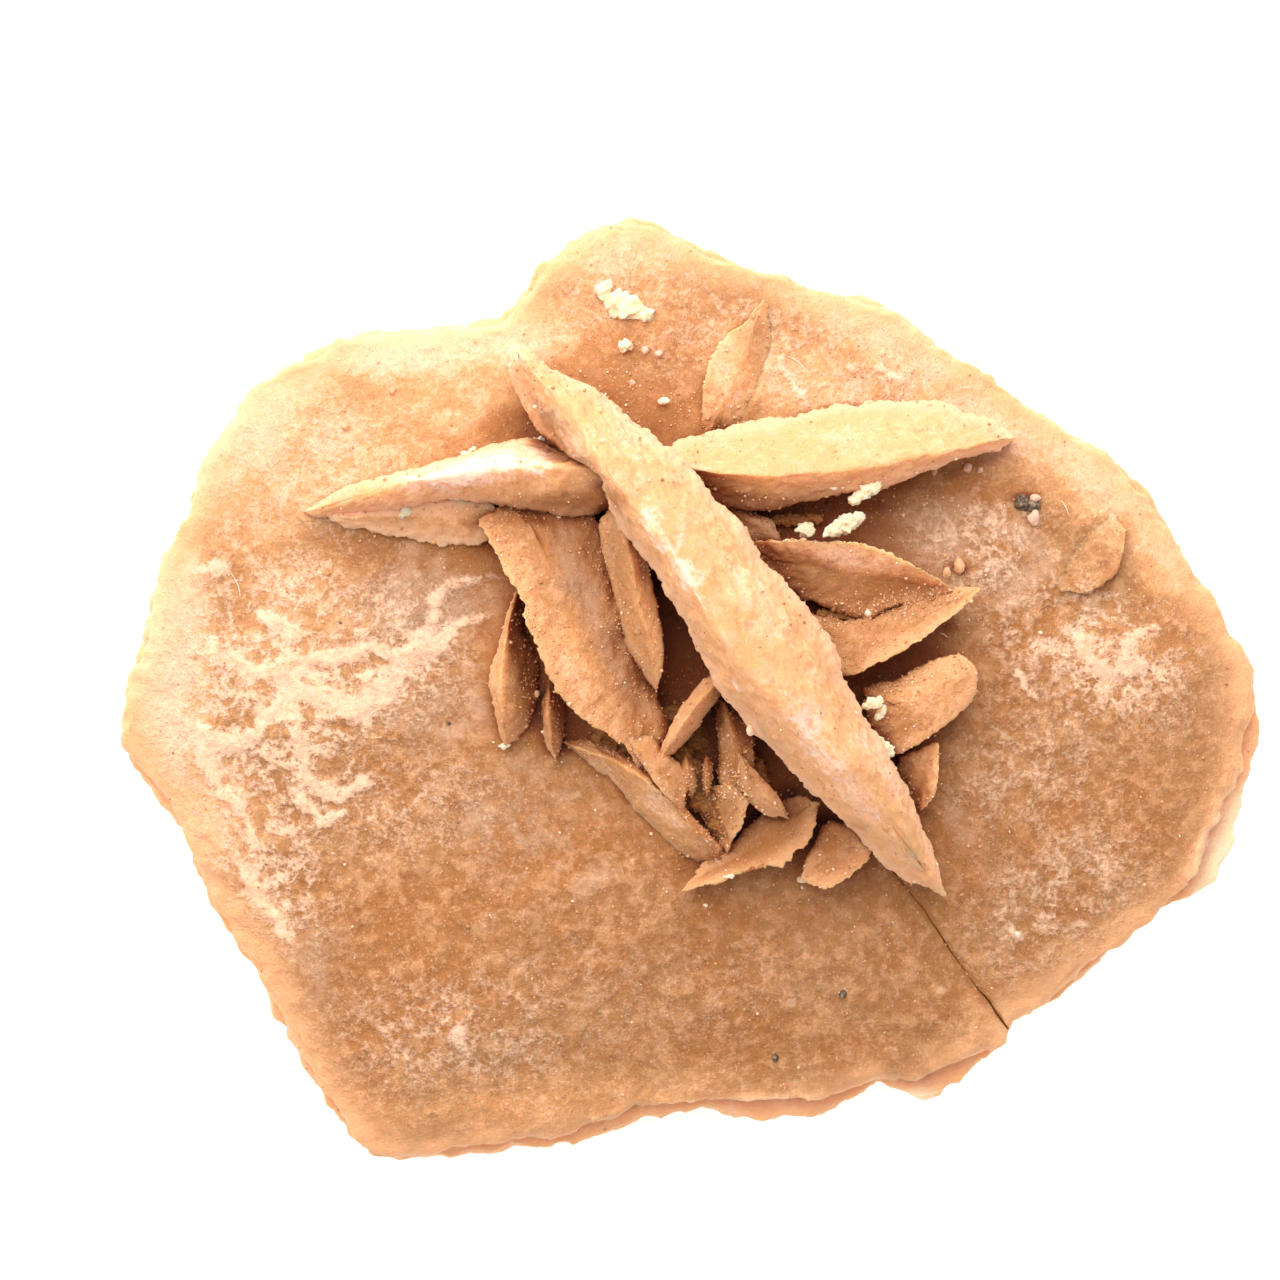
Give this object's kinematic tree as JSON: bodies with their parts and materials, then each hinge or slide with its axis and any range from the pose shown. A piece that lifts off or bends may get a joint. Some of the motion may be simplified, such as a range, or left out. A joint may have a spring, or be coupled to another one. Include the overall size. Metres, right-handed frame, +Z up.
{
  "type": "gypsum sand rose",
  "caption": "Natural desert rose of sandy gypsum: one broad, flat lens crystal with a knot of upright lens-shaped blades grown through its upper face.",
  "frame": {"origin": "bottom centre of the whole crystal cluster's box, on the surface it rests on", "axes": "+Z up, square to the broad plate crystal; +X along the plate's longest width, +Y across it"},
  "size_m": [0.0598, 0.0498, 0.0186],
  "materials": {
    "sandy_gypsum": "dry, sugary sand grain in gypsum; tan to orange-brown, with cream rims and veins"
  },
  "bodies": {
    "root": {"sand_rose": "sandy_gypsum"}
  },
  "joints": []
}
